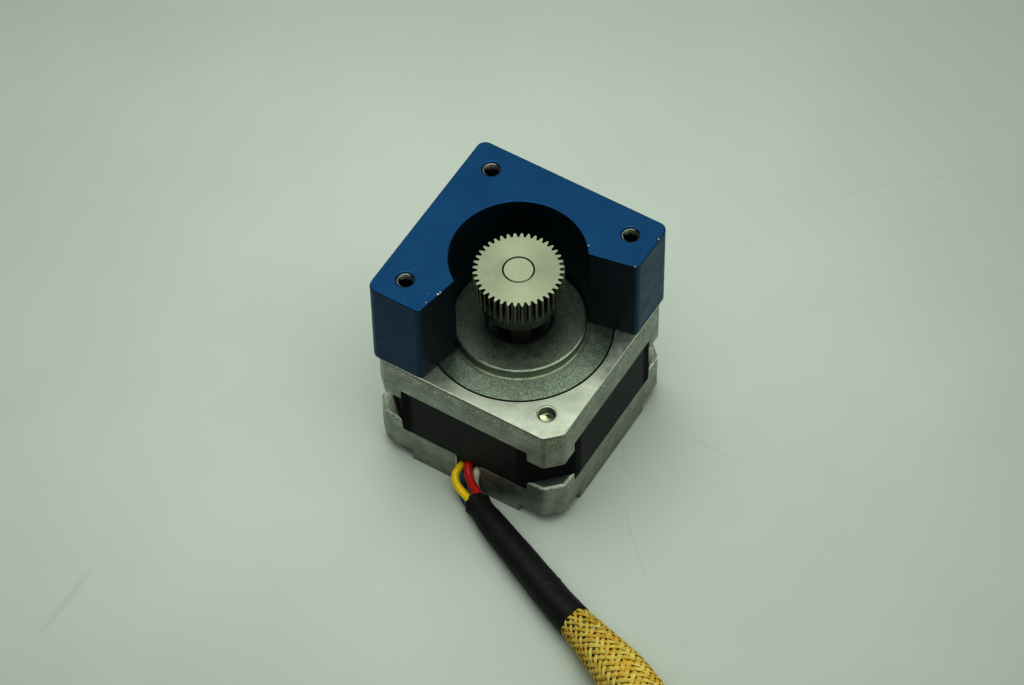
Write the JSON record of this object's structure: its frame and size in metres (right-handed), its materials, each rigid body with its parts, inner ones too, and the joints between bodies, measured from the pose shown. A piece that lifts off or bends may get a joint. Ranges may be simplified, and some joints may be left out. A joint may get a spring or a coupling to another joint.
{
  "type": "stepper motor with pinion and mounting block",
  "caption": "Small square two-phase stepper motor with a steel spur pinion on its shaft, an open blue anodised mounting block on its face and a sleeved four-wire lead.",
  "frame": {"origin": "centre of the motor's flat rear face, on the shaft's axis", "axes": "+Z along the shaft, out of the front face; the lead leaves through the -Y side, and the block's open corner is at +X -Y"},
  "size_m": [0.1043, 0.1441, 0.042],
  "materials": {
    "cast_aluminium": "die cast sides, turned front face",
    "lamination_black": "black sealed steel laminations",
    "bobbin_plastic": "moulded nylon",
    "magnet_wire": "enamelled copper wire",
    "ground_steel": "ground and turned steel",
    "rotor_steel": "ground silicon steel",
    "magnet": "sintered, nickel plated",
    "bearing_steel": "polished bearing steel",
    "cage_steel": "pressed strip",
    "shield_steel": "pressed strip",
    "spring_steel": "hardened strip",
    "screw_steel": "zinc plated",
    "blue_anodised": "blue anodised, fine milled grain",
    "pinion_steel": "hobbed teeth, turned face",
    "grommet_rubber": "moulded",
    "wire_yellow": "extruded insulation",
    "wire_red": "extruded insulation",
    "wire_white": "extruded insulation",
    "wire_blue": "extruded insulation",
    "heat_shrink_black": "shrunk polyolefin",
    "braid_yellow": "plain braided yarn, open weave",
    "plug_plastic": "moulded nylon",
    "contact_metal": "gold plated"
  },
  "bodies": {
    "housing": {"front_bell": "cast_aluminium", "rear_bell": "cast_aluminium", "stator_stack": "lamination_black", "front_insulator": "bobbin_plastic", "rear_insulator": "bobbin_plastic", "phase_a_coils": "magnet_wire", "phase_b_coils": "magnet_wire", "front_bearing_outer_race": "bearing_steel", "front_bearing_shields": "shield_steel", "rear_bearing_outer_race": "bearing_steel", "rear_bearing_shields": "shield_steel", "wave_washer": "spring_steel", "block_screws": "screw_steel", "corner_screw": "screw_steel", "mounting_block": "blue_anodised", "lead_grommet": "grommet_rubber", "wire_yellow": "wire_yellow", "wire_red": "wire_red", "wire_white": "wire_white", "wire_blue": "wire_blue", "heat_shrink": "heat_shrink_black", "braided_sleeve": "braid_yellow", "end_sleeve": "heat_shrink_black", "plug_wires": "wire_red", "plug_housing": "plug_plastic", "plug_contacts": "contact_metal"},
    "rotor": {"shaft": "ground_steel", "rotor_cup_front": "rotor_steel", "rotor_cup_rear": "rotor_steel", "rotor_magnet": "magnet", "front_spacer": "ground_steel", "rear_spacer": "ground_steel", "front_bearing_inner_race": "bearing_steel", "rear_bearing_inner_race": "bearing_steel", "pinion": "pinion_steel"},
    "front_ball_set": {"front_bearing_balls": "bearing_steel", "front_bearing_cage": "cage_steel"},
    "rear_ball_set": {"rear_bearing_balls": "bearing_steel", "rear_bearing_cage": "cage_steel"}
  },
  "joints": [
    {"name": "shaft_spin", "type": "hinge", "parent": "housing", "child": "rotor", "pos_m": [0, 0, 0.02], "axis": [0, 0, 1], "continuous": true},
    {"name": "front_ball_orbit", "type": "hinge", "parent": "housing", "child": "front_ball_set", "pos_m": [0, 0, 0.0221], "axis": [0, 0, 1], "continuous": true},
    {"name": "rear_ball_orbit", "type": "hinge", "parent": "housing", "child": "rear_ball_set", "pos_m": [0, 0, 0.0048], "axis": [0, 0, 1], "continuous": true}
  ],
  "couplings": [
    {"joint": "front_ball_orbit", "follows": "shaft_spin", "ratio": 0.3889},
    {"joint": "rear_ball_orbit", "follows": "shaft_spin", "ratio": 0.3889}
  ]
}
